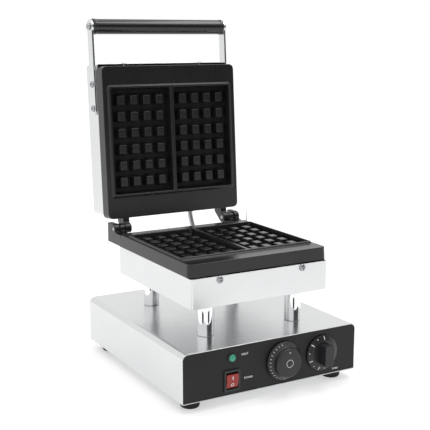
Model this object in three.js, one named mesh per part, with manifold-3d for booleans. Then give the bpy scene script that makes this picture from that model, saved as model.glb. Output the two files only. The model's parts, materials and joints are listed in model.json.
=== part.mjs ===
// A waffle maker: two cast plates, each with twin 4 x 6 waffle cavities, hinged at the back and
// carried on four columns above a sheet-steel base that holds the controls.
// Millimetres. +X is to the user's right, -Y is the front, +Z is up. The lid is modelled closed in
// its own frame, on the hinge axis, and its group is turned to the open stop.

import * as THREE from "three";
import { mergeVertices } from "three/addons/utils/BufferGeometryUtils.js";
import Module from "manifold-3d";

const wasm = await Module();
wasm.setup();

// ---- driving dimensions ----

const GAP = 0.3; // between pieces that touch
const SHEET = 1.2; // steel sheet thickness

const BASE = { width: 290, depth: 322, height: 71, topRadius: 9, bottomRadius: 1.5 };
const FOOT = { radius: 14.3, height: 14, inset: 25 };
const COLUMN = { radius: 12.4, wall: 1.5, height: 49, x: 74.2, frontInset: 62.3, rearInset: 84.4 };
const CASING = { width: 228, height: 43.5, corner: 4, frontInset: 30.5, rearInset: 51 };
const PLATE = { width: 231, corner: 8, draft: 0.8, frontInset: 34, bodyRearInset: 53, thickness: 19.5 };
const UPPER_PLATE_THICKNESS = 21;
const CAVITY = { length: 168, width: 104, depth: 14, divider: 6, corner: 2.5, draft: 2.2, frontInset: 35.5 };
const RIM = { height: 3, flat: 3, slope: 2, corner: 4 };
const PEG = { columns: 4, rows: 6, pitchX: 22.6, pitchY: 26, tipX: 11.6, tipY: 14, draft: 2.1 };
const HINGE = { rearInset: 31, pinRadius: 3, earRadius: 8.5, knuckleRadius: 8, runningGap: 0.05 };
const LID = { openAngle: 94, plateInset: 14.5, casingInset: 20, meetingGap: 0.5 };
const LID_WIDTH = { plate: 240, casing: 236 };
const HANDLE = { radius: 12, reach: 62.5, depth: 38, armWidth: 17, headRadius: 11, armThickness: 3.6 };

// ---- levels and lines worked out from them ----

const halfDepth = BASE.depth / 2;
const baseBottom = FOOT.height;
const baseTop = baseBottom + BASE.height;
const casingBottom = baseTop + COLUMN.height;
const plateBottom = casingBottom + CASING.height;
const flangeLevel = plateBottom + PLATE.thickness;
const plateFront = -halfDepth + PLATE.frontInset;
const plateBack = halfDepth - PLATE.bodyRearInset;
const casingFront = -halfDepth + CASING.frontInset;
const casingBack = halfDepth - CASING.rearInset;
const hingeY = halfDepth - HINGE.rearInset;
const hingeZ = flangeLevel + RIM.height + LID.meetingGap / 2;
const upperFlange = RIM.height + LID.meetingGap / 2;
const upperPlateTop = upperFlange + UPPER_PLATE_THICKNESS;
const upperCasingTop = upperPlateTop + CASING.height;
const casingHalf = CASING.width / 2;
const lidCasingHalf = LID_WIDTH.casing / 2;
const panelFront = -halfDepth + 0.6;
const panelThickness = 2;

// ---- materials ----

const steel = { color: 0xd9dadb, roughness: 0.32, metalness: 0.9 };
const darkSteel = { color: 0x8d9093, roughness: 0.4, metalness: 0.9 };
const chrome = { color: 0xe6e7e8, roughness: 0.12, metalness: 1 };
const nonStick = { color: 0x2b2b2c, roughness: 0.45, metalness: 0.1 };
const blackPanel = { color: 0x27272a, roughness: 0.5, metalness: 0 };
const blackPlastic = { color: 0x1c1c1e, roughness: 0.35, metalness: 0 };
const rubber = { color: 0x161617, roughness: 0.8, metalness: 0 };
const redPlastic = { color: 0xa8322a, roughness: 0.3, metalness: 0 };
const greenLens = { color: 0x1f8a68, roughness: 0.2, metalness: 0 };
const aluminium = { color: 0xb9bcbf, roughness: 0.45, metalness: 0.9 };
const ceramic = { color: 0xe9e5da, roughness: 0.6, metalness: 0 };
const brass = { color: 0xb08d4a, roughness: 0.35, metalness: 0.9 };

// ---- helpers: shapes, solids and meshes ----

// A geometry as a manifold-3d solid, for joining and cutting.
function solid(geometry) {
  const plain = geometry.index ? geometry.toNonIndexed() : geometry.clone();
  plain.deleteAttribute("normal");
  plain.deleteAttribute("uv");
  const merged = mergeVertices(plain, 1e-4);
  return new wasm.Manifold(
    new wasm.Mesh({
      numProp: 3,
      vertProperties: new Float32Array(merged.attributes.position.array),
      triVerts: new Uint32Array(merged.index.array),
    }),
  );
}

// The geometry of a manifold-3d solid.
function geometryOf(body) {
  const mesh = body.getMesh();
  const geometry = new THREE.BufferGeometry();
  geometry.setAttribute("position", new THREE.BufferAttribute(new Float32Array(mesh.vertProperties), 3));
  geometry.setIndex(new THREE.BufferAttribute(new Uint32Array(mesh.triVerts), 1));
  geometry.computeVertexNormals();
  return geometry;
}

const joined = (bodies) => bodies.reduce((all, body) => all.add(body));
const cutBy = (body, tools) => tools.reduce((rest, tool) => rest.subtract(tool), body);

// A counter-clockwise rounded rectangle as a list of points.
function roundedOutline(x0, x1, y0, y1, radius, steps = 3) {
  const points = [];
  const corners = [
    [x1 - radius, y0 + radius, -90],
    [x1 - radius, y1 - radius, 0],
    [x0 + radius, y1 - radius, 90],
    [x0 + radius, y0 + radius, 180],
  ];
  for (const [cx, cy, start] of corners) {
    for (let i = 0; i <= steps; i++) {
      const angle = THREE.MathUtils.degToRad(start + (90 * i) / steps);
      points.push(new THREE.Vector2(cx + radius * Math.cos(angle), cy + radius * Math.sin(angle)));
    }
  }
  return points;
}

// A counter-clockwise rectangle about a centre, from its half sizes.
function rectangle(cx, cy, halfX, halfY) {
  const signs = [[-1, -1], [1, -1], [1, 1], [-1, 1]];
  return signs.map(([sx, sy]) => new THREE.Vector2(cx + sx * halfX, cy + sy * halfY));
}

// Points of an arc about (cx, cy), from one angle to another, in degrees.
function arc(cx, cy, radius, from, to, steps) {
  return Array.from({ length: steps + 1 }, (_, i) => {
    const angle = THREE.MathUtils.degToRad(from + ((to - from) * i) / steps);
    return new THREE.Vector2(cx + radius * Math.cos(angle), cy + radius * Math.sin(angle));
  });
}

// A closed solid between two outlines with equally many points, at two heights.
function loft(lower, z0, upper, z1) {
  const count = lower.length;
  const position = [];
  const at = (points, i, z) => [points[i % count].x, points[i % count].y, z];
  for (let i = 0; i < count; i++) {
    position.push(...at(lower, i, z0), ...at(lower, i + 1, z0), ...at(upper, i + 1, z1));
    position.push(...at(lower, i, z0), ...at(upper, i + 1, z1), ...at(upper, i, z1));
  }
  for (const [a, b, c] of THREE.ShapeUtils.triangulateShape(lower, [])) {
    position.push(...at(lower, a, z0), ...at(lower, c, z0), ...at(lower, b, z0));
    position.push(...at(upper, a, z1), ...at(upper, b, z1), ...at(upper, c, z1));
  }
  const geometry = new THREE.BufferGeometry();
  geometry.setAttribute("position", new THREE.Float32BufferAttribute(position, 3));
  return geometry;
}

const prism = (outline, z0, z1) => loft(outline, z0, outline, z1);

// A prism whose outline lies in the YZ plane, between two values of X.
function prismAlongX(outline, x0, x1) {
  const turn = new THREE.Matrix4().makeBasis(
    new THREE.Vector3(0, 1, 0),
    new THREE.Vector3(0, 0, 1),
    new THREE.Vector3(1, 0, 0),
  );
  return prism(outline, x0, x1).applyMatrix4(turn);
}

// A prism whose outline lies in the XZ plane, between two values of Y.
function prismAlongY(outline, y0, y1) {
  return prism(outline, -y1, -y0).rotateX(Math.PI / 2);
}

function box(x0, x1, y0, y1, z0, z1) {
  const geometry = new THREE.BoxGeometry(x1 - x0, y1 - y0, z1 - z0);
  return geometry.translate((x0 + x1) / 2, (y0 + y1) / 2, (z0 + z1) / 2);
}

const rod = (x, y, radius, z0, z1, sides = 16) =>
  new THREE.CylinderGeometry(radius, radius, z1 - z0, sides)
    .rotateX(Math.PI / 2)
    .translate(x, y, (z0 + z1) / 2);

const rodAlongX = (y, z, radius, x0, x1, sides = 16) =>
  new THREE.CylinderGeometry(radius, radius, x1 - x0, sides)
    .rotateZ(Math.PI / 2)
    .translate((x0 + x1) / 2, y, z);

const rodAlongY = (x, z, radius, y0, y1, sides = 16) =>
  new THREE.CylinderGeometry(radius, radius, y1 - y0, sides).translate(x, (y0 + y1) / 2, z);

// A turned piece: its profile is [radius, height] pairs, starting and ending on the axis or closed.
function turned(profile, sides = 20) {
  return new THREE.LatheGeometry(
    profile.map(([radius, height]) => new THREE.Vector2(radius, height)),
    sides,
  );
}

// A turned piece whose height runs towards the front, -Y, from the panel's face.
const turnedOnPanel = (profile, x, z, sides) =>
  turned(profile, sides).rotateX(Math.PI).translate(x, panelFront, z);

// A round tube or wire along a smooth curve through the given points.
function tubeThrough(points, radius, steps, sides = 8) {
  const section = new THREE.Shape(arc(0, 0, radius, 0, 360 - 360 / sides, sides - 1));
  const path = new THREE.CatmullRomCurve3(
    points.map((point) => new THREE.Vector3(...point)),
    false,
    "centripetal",
  );
  return new THREE.ExtrudeGeometry(section, { steps, bevelEnabled: false, extrudePath: path });
}

function addPiece(parent, name, shape, finish) {
  const geometry = shape.isBufferGeometry ? shape : geometryOf(shape);
  const mesh = new THREE.Mesh(geometry, new THREE.MeshStandardMaterial(finish));
  mesh.name = name;
  parent.add(mesh);
}

const sides = [
  ["left", -1],
  ["right", 1],
];
const ends = [
  ["front", -1],
  ["rear", 1],
];

// ---- the base: housing, cover, panel and feet ----

const columnPlaces = [
  ["front_left", -COLUMN.x, -halfDepth + COLUMN.frontInset],
  ["front_right", COLUMN.x, -halfDepth + COLUMN.frontInset],
  ["rear_left", -COLUMN.x, halfDepth - COLUMN.rearInset],
  ["rear_right", COLUMN.x, halfDepth - COLUMN.rearInset],
];
const boltHoleRadius = 3.5;
const passageRadius = 6.5; // rear columns carry the wires and the capillary
const columnHoleRadius = (name) => (name.startsWith("rear") ? passageRadius : boltHoleRadius);

// The end view of the base, drawn in by an inset, with large top corners.
function baseOutline(inset) {
  const half = BASE.width / 2 - inset;
  const top = baseTop - inset;
  const bottom = baseBottom + inset;
  const topRadius = BASE.topRadius - inset;
  const bottomRadius = Math.max(BASE.bottomRadius - inset, 0.3);
  return [
    ...arc(half - bottomRadius, bottom + bottomRadius, bottomRadius, -90, 0, 2),
    ...arc(half - topRadius, top - topRadius, topRadius, 0, 90, 6),
    ...arc(-half + topRadius, top - topRadius, topRadius, 90, 180, 6),
    ...arc(-half + bottomRadius, bottom + bottomRadius, bottomRadius, 180, 270, 2),
  ];
}

const flangeFloor = baseBottom + SHEET + GAP; // the housing's inturned flange lies on the bottom cover
const glandX = -90;
const glandZ = baseBottom + 24;

function baseHousing() {
  const outer = solid(prismAlongY(baseOutline(0), -halfDepth, halfDepth));
  const hollow = solid(prismAlongY(baseOutline(SHEET), -halfDepth - 1, halfDepth - SHEET));
  const aboveFlange = solid(
    box(-BASE.width, BASE.width, -halfDepth - 2, halfDepth, flangeFloor + SHEET, baseTop + 1),
  );
  const innerHalf = BASE.width / 2 - SHEET;
  const coverPocket = solid(
    box(-innerHalf, innerHalf, -halfDepth - 1, halfDepth - SHEET, baseBottom - 1, flangeFloor),
  );
  const flangeWidth = 12;
  const flangeOpening = solid(
    box(
      -innerHalf + flangeWidth,
      innerHalf - flangeWidth,
      -halfDepth - 1,
      halfDepth - SHEET - flangeWidth,
      baseBottom - 2,
      flangeFloor + SHEET + 1,
    ),
  );
  const seatBack = panelFront + panelThickness + GAP;
  const panelSeat = solid(
    box(-innerHalf, innerHalf, -halfDepth - 1, seatBack, flangeFloor - 1, baseBottom + 10),
  );
  const columnHoles = columnPlaces.map(([name, x, y]) =>
    solid(rod(x, y, columnHoleRadius(name), baseTop - 5, baseTop + 5, 12)),
  );
  const glandHole = solid(rodAlongY(glandX, glandZ, 7, halfDepth - 5, halfDepth + 5));
  return cutBy(outer, [
    hollow.intersect(aboveFlange),
    coverPocket,
    flangeOpening,
    panelSeat,
    ...columnHoles,
    glandHole,
  ]);
}

function bottomCover() {
  const half = BASE.width / 2 - SHEET - GAP;
  const plate = solid(
    box(-half, half, -halfDepth, halfDepth - SHEET - GAP, baseBottom, baseBottom + SHEET),
  );
  const slotCount = 5;
  const slotPitch = 12;
  const slotHalf = { x: 35, y: 2.5 };
  const slots = Array.from({ length: slotCount }, (_, i) => {
    const y = (i - (slotCount - 1) / 2) * slotPitch;
    return solid(
      box(-slotHalf.x, slotHalf.x, y - slotHalf.y, y + slotHalf.y, baseBottom - 1, baseBottom + SHEET + 1),
    );
  });
  return cutBy(plate, slots);
}

const thermostat = { x: 17.5, z: baseBottom + 35.5 };
const timer = { x: 84, z: baseBottom + 35.5 };
const powerSwitch = { x: -67.5, z: baseBottom + 21.5, width: 21, height: 27 };
const lamp = { x: -67.5, z: baseBottom + 54 };
const controlShaft = { radius: 2.9, reach: 12, bore: 3.2, panelHole: 4 };
const lampHoleRadius = 5;

function frontPanel() {
  const innerBottom = flangeFloor + GAP / 2;
  const inset = SHEET + GAP;
  const outline = baseOutline(inset).map((p) => new THREE.Vector2(p.x, Math.max(p.y, innerBottom)));
  const sheet = solid(prismAlongY(outline, panelFront, panelFront + panelThickness));
  const y0 = panelFront - 1;
  const y1 = panelFront + panelThickness + 1;
  return cutBy(sheet, [
    solid(rodAlongY(thermostat.x, thermostat.z, controlShaft.panelHole, y0, y1)),
    solid(rodAlongY(timer.x, timer.z, controlShaft.panelHole, y0, y1)),
    solid(rodAlongY(lamp.x, lamp.z, lampHoleRadius, y0, y1)),
    solid(
      box(
        powerSwitch.x - powerSwitch.width / 2,
        powerSwitch.x + powerSwitch.width / 2,
        y0,
        y1,
        powerSwitch.z - powerSwitch.height / 2,
        powerSwitch.z + powerSwitch.height / 2,
      ),
    ),
  ]);
}

function foot(x, y) {
  const rim = FOOT.radius;
  const top = FOOT.height - GAP;
  const profile = [[0, 0], [rim - 2.5, 0], [rim - 1, 1.5], [rim, top - 2], [rim, top], [0, top]];
  return turned(profile).rotateX(Math.PI / 2).translate(x, y, 0);
}

// ---- the controls ----

// A shaft control: a boxed body behind the panel, its bush and its shaft, which the knob turns on.
function shaftBody(place, width, height, depth) {
  const back = panelFront + panelThickness + GAP;
  const [x0, x1] = [place.x - width / 2, place.x + width / 2];
  const [z0, z1] = [place.z - height / 2, place.z + height / 2];
  const body = solid(box(x0, x1, back, back + depth, z0, z1));
  const { radius, reach, panelHole } = controlShaft;
  const bush = solid(rodAlongY(place.x, place.z, panelHole - GAP, panelFront - 0.2, back + 1));
  const shaft = solid(rodAlongY(place.x, place.z, radius, panelFront - reach, back + 1, 12));
  return joined([body, bush, shaft]);
}

// The blind bore of a knob, for the control's shaft.
const shaftBore = (place) =>
  solid(
    rodAlongY(place.x, place.z, controlShaft.bore, panelFront - controlShaft.reach - 1, panelFront + 1, 12),
  );

function thermostatKnob() {
  const profile = [
    [0, 1.2], [27.4, 1.2], [28.4, 2.2], [28.4, 4], [25.5, 8], [23.8, 10], [22.8, 15.5], [21, 17.5], [0, 17.5],
  ];
  const body = solid(turnedOnPanel(profile, thermostat.x, thermostat.z, 32));
  return body.subtract(shaftBore(thermostat));
}

function timerKnob() {
  const skirtProfile = [[0, 1.2], [25.5, 1.2], [26.5, 2.2], [26.5, 4], [24.3, 6.5], [0, 6.5]];
  const skirt = solid(turnedOnPanel(skirtProfile, timer.x, timer.z, 32));
  const barWidth = 15;
  const barHeight = 34;
  const bar = solid(
    prismAlongY(
      roundedOutline(
        timer.x - barWidth / 2,
        timer.x + barWidth / 2,
        timer.z - barHeight / 2,
        timer.z + barHeight / 2,
        3,
      ),
      panelFront - 21.5,
      panelFront - 6,
    ),
  );
  return joined([skirt, bar]).subtract(shaftBore(timer));
}

const rockerPivotY = panelFront + 3;
const rockerHalf = { x: 9.3, z: 11 };

function switchBody() {
  const bezelHalf = { x: 12.8, z: 15.5 };
  const bezel = solid(
    prismAlongY(
      roundedOutline(
        powerSwitch.x - bezelHalf.x,
        powerSwitch.x + bezelHalf.x,
        powerSwitch.z - bezelHalf.z,
        powerSwitch.z + bezelHalf.z,
        1.5,
        2,
      ),
      panelFront - 2.2,
      panelFront - 0.2,
    ),
  );
  const bodyHalf = { x: powerSwitch.width / 2 - GAP, z: powerSwitch.height / 2 - GAP };
  const body = solid(
    box(
      powerSwitch.x - bodyHalf.x,
      powerSwitch.x + bodyHalf.x,
      panelFront - 1,
      panelFront + 22,
      powerSwitch.z - bodyHalf.z,
      powerSwitch.z + bodyHalf.z,
    ),
  );
  const well = solid(
    box(
      powerSwitch.x - rockerHalf.x - GAP,
      powerSwitch.x + rockerHalf.x + GAP,
      panelFront - 5,
      panelFront + 11,
      powerSwitch.z - rockerHalf.z - 1,
      powerSwitch.z + rockerHalf.z + 1,
    ),
  );
  const terminals = [-6, 6].map((dx) => {
    const [x, z] = [powerSwitch.x + dx, powerSwitch.z];
    return solid(box(x - 3, x + 3, panelFront + 21, panelFront + 29, z - 0.4, z + 0.4));
  });
  return joined([bezel.add(body).subtract(well), ...terminals]);
}

// The rocker, with two faces that meet in a shallow ridge; at rest its lower half is pressed in.
const rockerTilt = 8;

function powerRocker() {
  const { z } = rockerHalf;
  const crown = 6.8;
  const edge = 5.2;
  const half = z - 0.8;
  const outline = [
    new THREE.Vector2(-crown, 0),
    new THREE.Vector2(-edge, -half),
    new THREE.Vector2(0, -half + 1.5),
    new THREE.Vector2(3.5, -4),
    new THREE.Vector2(3.5, 4),
    new THREE.Vector2(0, half - 1.5),
    new THREE.Vector2(-edge, half),
  ];
  return prismAlongX(outline, -rockerHalf.x, rockerHalf.x)
    .rotateX(THREE.MathUtils.degToRad(rockerTilt))
    .translate(powerSwitch.x, rockerPivotY, powerSwitch.z);
}

const lampBody = () => {
  const outer = [[0, -24], [4.7, -24], [4.7, 0.2], [7, 0.2], [6.8, 1.8], [5.6, 2.2], [0, 2.2]];
  const body = solid(turnedOnPanel(outer, lamp.x, lamp.z, 20));
  return body.subtract(solid(rodAlongY(lamp.x, lamp.z, 4.2, panelFront - 5, panelFront + 6)));
};
const lampLens = () => {
  const profile = [[0, -5], [3.9, -5], [3.9, 2.4], [3, 3.8], [1.6, 4.4], [0, 4.6]];
  return turnedOnPanel(profile, lamp.x, lamp.z, 16);
};

// ---- the inside of the base ----

const terminal = { x: -90, y: 70 };

function terminalBlock() {
  const z0 = flangeFloor;
  const [x, y] = [terminal.x, terminal.y];
  const block = solid(box(x - 20, x + 20, y - 11, y + 11, z0, z0 + 20));
  const wells = [-13, 0, 13].map((dx) => solid(rod(x + dx, y, 3.5, z0 + 8, z0 + 25, 10)));
  return cutBy(block, wells);
}

// The inlet bush in the rear wall.
function cableGland() {
  const back = halfDepth;
  const body = joined([
    solid(rodAlongY(glandX, glandZ, 6.6, back - 9, back + GAP)),
    solid(rodAlongY(glandX, glandZ, 10, back + GAP, back + 7)),
    solid(rodAlongY(glandX, glandZ, 9.5, back - 9, back - SHEET - GAP, 6)),
  ]);
  return body.subtract(solid(rodAlongY(glandX, glandZ, 4, back - 12, back + 9)));
}

// ---- the columns and what runs in them ----

const column = (x, y) => {
  const inner = COLUMN.radius - COLUMN.wall;
  const z0 = baseTop + GAP;
  const z1 = casingBottom - GAP;
  return solid(rod(x, y, COLUMN.radius, z0, z1, 24)).subtract(solid(rod(x, y, inner, z0 - 1, z1 + 1, 16)));
};

function columnBolt(x, y) {
  const underTop = baseTop - SHEET - GAP;
  const shank = solid(rod(x, y, 3, underTop - 1, casingBottom + 8, 10));
  const head = solid(rod(x, y, 6, underTop - 5, underTop, 6));
  return joined([shank, head]);
}

function columnNut(x, y) {
  const underTop = baseTop - SHEET - GAP;
  return solid(rod(x, y, 12, underTop - 4, underTop, 6)).subtract(
    solid(rod(x, y, passageRadius, underTop - 5, underTop + 1, 12)),
  );
}

// ---- one cast plate, face up, with its flange's face at height 0 ----

const cavityFront = plateFront + CAVITY.frontInset;
const cavityBack = cavityFront + CAVITY.length;
const dividerHalf = CAVITY.divider / 2;

function pegSolids(side) {
  const centreX = dividerHalf + CAVITY.width / 2;
  const centreY = (cavityFront + cavityBack) / 2;
  const pegs = [];
  for (let column = 0; column < PEG.columns; column++) {
    for (let row = 0; row < PEG.rows; row++) {
      const x = side * (centreX + (column - (PEG.columns - 1) / 2) * PEG.pitchX);
      const y = centreY + (row - (PEG.rows - 1) / 2) * PEG.pitchY;
      const outline = (grow) => rectangle(x, y, PEG.tipX / 2 + grow, PEG.tipY / 2 + grow);
      pegs.push(solid(loft(outline(PEG.draft), -CAVITY.depth - 0.5, outline(0), 0)));
    }
  }
  return pegs;
}

function cavitySolid(side) {
  const inner = side * dividerHalf;
  const outer = side * (dividerHalf + CAVITY.width);
  const [x0, x1] = [Math.min(inner, outer), Math.max(inner, outer)];
  const outline = (shrink) =>
    roundedOutline(x0 + shrink, x1 - shrink, cavityFront + shrink, cavityBack - shrink, CAVITY.corner, 2);
  const over = 1;
  const slant = CAVITY.draft / (CAVITY.depth + RIM.height);
  return solid(loft(outline(CAVITY.draft), -CAVITY.depth, outline(-slant * over), RIM.height + over));
}

function castPlate(width, front, back, thickness) {
  const half = width / 2;
  const bodyOutline = (inset) =>
    roundedOutline(-half + inset, half - inset, front + inset, back - inset, PLATE.corner);
  const body = solid(loft(bodyOutline(0), -thickness, bodyOutline(PLATE.draft), 0));
  const reach = dividerHalf + CAVITY.width + RIM.flat;
  const rimOutline = (grow) =>
    roundedOutline(
      -reach - grow,
      reach + grow,
      cavityFront - RIM.flat - grow,
      cavityBack + RIM.flat + grow,
      RIM.corner,
    );
  const rim = solid(loft(rimOutline(RIM.slope), -0.5, rimOutline(0), RIM.height));
  const tray = cutBy(body.add(rim), [cavitySolid(-1), cavitySolid(1)]);
  return joined([tray, ...pegSolids(-1), ...pegSolids(1)]);
}

// ---- the hinge ----

const ear = {
  inner: 95.9,
  slot: 105.3,
  outer: 106.7,
  face: (PLATE.width - PLATE.draft) / 2,
  root: plateBack - PLATE.corner - 1, // ahead of the plate's rounded corner
  rear: halfDepth - 11,
};
const knuckle = { inner: 85, outer: 95.4 };
const pinLevel = hingeZ - flangeLevel; // above the lower flange's face

// A fork ear of the lower plate: a block behind the plate, with two rounded lugs about the pin.
function hingeEar(side) {
  const web = solid(
    box(
      Math.min(side * ear.inner, side * ear.face),
      Math.max(side * ear.inner, side * ear.face),
      ear.root,
      ear.rear,
      -PLATE.thickness,
      -5,
    ),
  );
  const lugOutline = (radius, rear) => [
    new THREE.Vector2(ear.root, -6),
    new THREE.Vector2(rear, -6),
    new THREE.Vector2(rear, pinLevel + radius - 2),
    new THREE.Vector2(rear - 2, pinLevel + radius),
    ...arc(hingeY, pinLevel, radius, 90, 200, 6),
    new THREE.Vector2(plateBack + 6, -1.5),
    new THREE.Vector2(ear.root, -0.5),
  ];
  const outerLug = prismAlongX(
    lugOutline(HINGE.earRadius, ear.rear),
    Math.min(side * ear.outer, side * ear.face),
    Math.max(side * ear.outer, side * ear.face),
  );
  const innerLug = prismAlongX(
    lugOutline(HINGE.earRadius - 1.5, hingeY + 10),
    Math.min(side * ear.inner, side * ear.slot),
    Math.max(side * ear.inner, side * ear.slot),
  );
  return joined([web, solid(outerLug), solid(innerLug)]);
}

// A knuckle of the lid: a neck from the plate's back edge to a rounded eye about the pin.
function lidKnuckle(side) {
  const outline = [
    new THREE.Vector2(-LID.plateInset - 2, upperPlateTop),
    new THREE.Vector2(-LID.plateInset - 2, upperFlange + 0.5),
    ...arc(0, 0, HINGE.knuckleRadius, 180, 360, 10),
    new THREE.Vector2(HINGE.knuckleRadius, 5),
    new THREE.Vector2(-LID.plateInset + 6, upperPlateTop),
  ];
  const x = [side * knuckle.inner, side * knuckle.outer];
  return solid(prismAlongX(outline, Math.min(...x), Math.max(...x)));
}

const pinBore = (side, y, z) => {
  const x = [side * (knuckle.inner - 2), side * (ear.face + 2)];
  return solid(
    rodAlongX(y, z, HINGE.pinRadius + HINGE.runningGap, Math.min(...x), Math.max(...x), 20),
  );
};

function lowerPlate() {
  const plate = castPlate(PLATE.width, plateFront, plateBack, PLATE.thickness);
  const ears = sides.map(([, side]) => hingeEar(side));
  const bores = sides.map(([, side]) => pinBore(side, hingeY, pinLevel));
  const placed = cutBy(joined([plate, ...ears]), bores);
  return geometryOf(placed).translate(0, 0, flangeLevel);
}

// The upper plate, face down in the lid's frame, whose origin is on the hinge axis.
function upperPlate() {
  const back = hingeY - LID.plateInset;
  const plate = castPlate(LID_WIDTH.plate, plateFront, back, UPPER_PLATE_THICKNESS);
  const turnedOver = geometryOf(plate).rotateY(Math.PI).translate(0, -hingeY, upperFlange);
  const knuckles = sides.map(([, side]) => lidKnuckle(side));
  const bores = sides.map(([, side]) => pinBore(side, 0, 0));
  return cutBy(joined([solid(turnedOver), ...knuckles]), bores);
}

function hingePin(side) {
  const x = [side * (knuckle.inner - 0.5), side * (ear.face - 0.5)];
  return rodAlongX(hingeY, hingeZ, HINGE.pinRadius, Math.min(...x), Math.max(...x), 20);
}

// ---- a casing, its heater and its heat shield, open side up, for a plate whose underside is at 0 ----

const screwX = 69;
const screwDrop = 5.6;
const screw = { head: 5.3, headHeight: 2.6, shank: 2, hole: 2.4 };
const conduit = { x: 50, radius: 4.5, collar: 7.5 };

function casingShell(half, front, back) {
  const outline = (inset) =>
    roundedOutline(-half + inset, half - inset, front + inset, back - inset, CASING.corner - inset);
  const outer = solid(prism(outline(0), -CASING.height, -GAP));
  const hollow = solid(prism(outline(SHEET), -CASING.height + SHEET, 1));
  const screwHoles = sides.map(([, side]) =>
    solid(rodAlongY(side * screwX, -screwDrop, screw.hole, front - 2, front + 4, 10)),
  );
  return cutBy(outer, [hollow, ...screwHoles]);
}

function heater(front, back) {
  const level = -4;
  const runs = [-78, -26, 26, 78];
  const near = front + 30;
  const far = back - 38;
  const tail = back - 16;
  const points = [];
  const last = runs.length - 1;
  runs.forEach((x, i) => {
    const [start, end] = i % 2 === 0 ? [far, near] : [near, far];
    const bow = Math.sign(start - end) * 10;
    points.push([x, i === 0 ? tail : start - bow, level]);
    points.push([x, (start + end) / 2, level]);
    points.push([x, i === last ? tail : end + bow, level]);
    if (i < last) points.push([(x + runs[i + 1]) / 2, end - bow, level]);
  });
  return tubeThrough(points, 3.3, 40);
}

function heatShield(front, back) {
  const level = -13;
  const x = casingHalf - 15;
  const pan = solid(box(-x, x, front + 8, back - 12, level - 1.2, level));
  const legs = sides.flatMap(([, sx]) =>
    ends.map(([, sy]) => {
      const cx = sx * (x - 8);
      const cy = sy < 0 ? front + 16 : back - 20;
      return solid(box(cx - 3, cx + 3, cy - 3, cy + 3, -CASING.height + SHEET + GAP, level - 1));
    }),
  );
  return joined([pan, ...legs]);
}

// A pan-head screw driven along +Y, with its head's seat at y = 0.
function panScrew() {
  const { head, headHeight, shank } = screw;
  const profile = [
    [0, -headHeight], [head * 0.55, -headHeight], [head * 0.9, -headHeight * 0.65], [head, 0],
    [shank, 0], [shank, 9], [0, 9],
  ];
  const body = solid(turned(profile, 10));
  const reach = head * 0.5;
  const deep = -headHeight * 0.45;
  const cross = joined([
    solid(box(-reach, reach, -headHeight - 1, deep, -0.6, 0.6)),
    solid(box(-0.6, 0.6, -headHeight - 1, deep, -reach, reach)),
  ]);
  return geometryOf(body.subtract(cross));
}

// ---- the lid's handle ----

const lidFront = plateFront - hingeY; // the upper plate's front edge in the lid's frame
const handleY = lidFront - HANDLE.reach;
const armScrewYs = [lidFront + 28, lidFront + 66];
const armInner = lidCasingHalf + GAP;
const armOuter = armInner + HANDLE.armThickness;

function handleArm(side) {
  const r = HANDLE.armWidth / 2;
  const tail = lidFront + 68;
  const headAngle = THREE.MathUtils.radToDeg(Math.asin(r / HANDLE.headRadius));
  const outline = [
    ...arc(tail, HANDLE.depth, r, -90, 90, 8),
    ...arc(handleY, HANDLE.depth, HANDLE.headRadius, headAngle, 360 - headAngle, 14),
  ];
  const x = [side * armInner, side * armOuter];
  const bar = solid(prismAlongX(outline, Math.min(...x), Math.max(...x)));
  const holes = [
    solid(rodAlongX(handleY, HANDLE.depth, 3.3, -armOuter - 2, armOuter + 2, 12)),
    ...armScrewYs.map((y) => solid(rodAlongX(y, HANDLE.depth, screw.hole, -armOuter - 2, armOuter + 2, 10))),
  ];
  return cutBy(bar, holes);
}

function handleGrip() {
  const half = lidCasingHalf - 0.2;
  const r = HANDLE.radius;
  const profile = [
    [3.6, -half], [r - 0.4, -half], [r + 0.5, -half + 1], [r + 0.5, -half + 5], [r, -half + 6],
    [r, half - 6], [r + 0.5, half - 5], [r + 0.5, half - 1], [r - 0.4, half], [3.6, half], [3.6, -half],
  ];
  return turned(profile, 24).rotateZ(Math.PI / 2).translate(0, handleY, HANDLE.depth);
}

const handleRod = () => rodAlongX(handleY, HANDLE.depth, 3, -armOuter - 2.2, armOuter + 2.2, 12);

function handleNut(side) {
  const seat = armOuter + GAP;
  const profile = [
    [3.3, 0], [5.4, 0], [5.4, 1.4], [4.4, 3.2], [2.4, 4.2], [0, 4.4], [0, 2.6], [3.3, 2.6], [3.3, 0],
  ];
  return turned(profile, 12)
    .rotateZ(-side * (Math.PI / 2))
    .translate(side * seat, handleY, HANDLE.depth);
}

function armScrew(side, y) {
  return panScrew()
    .rotateZ(side * (Math.PI / 2))
    .translate(side * (armOuter + GAP), y, HANDLE.depth);
}

// ---- assembly ----

const maker = new THREE.Group();

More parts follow.
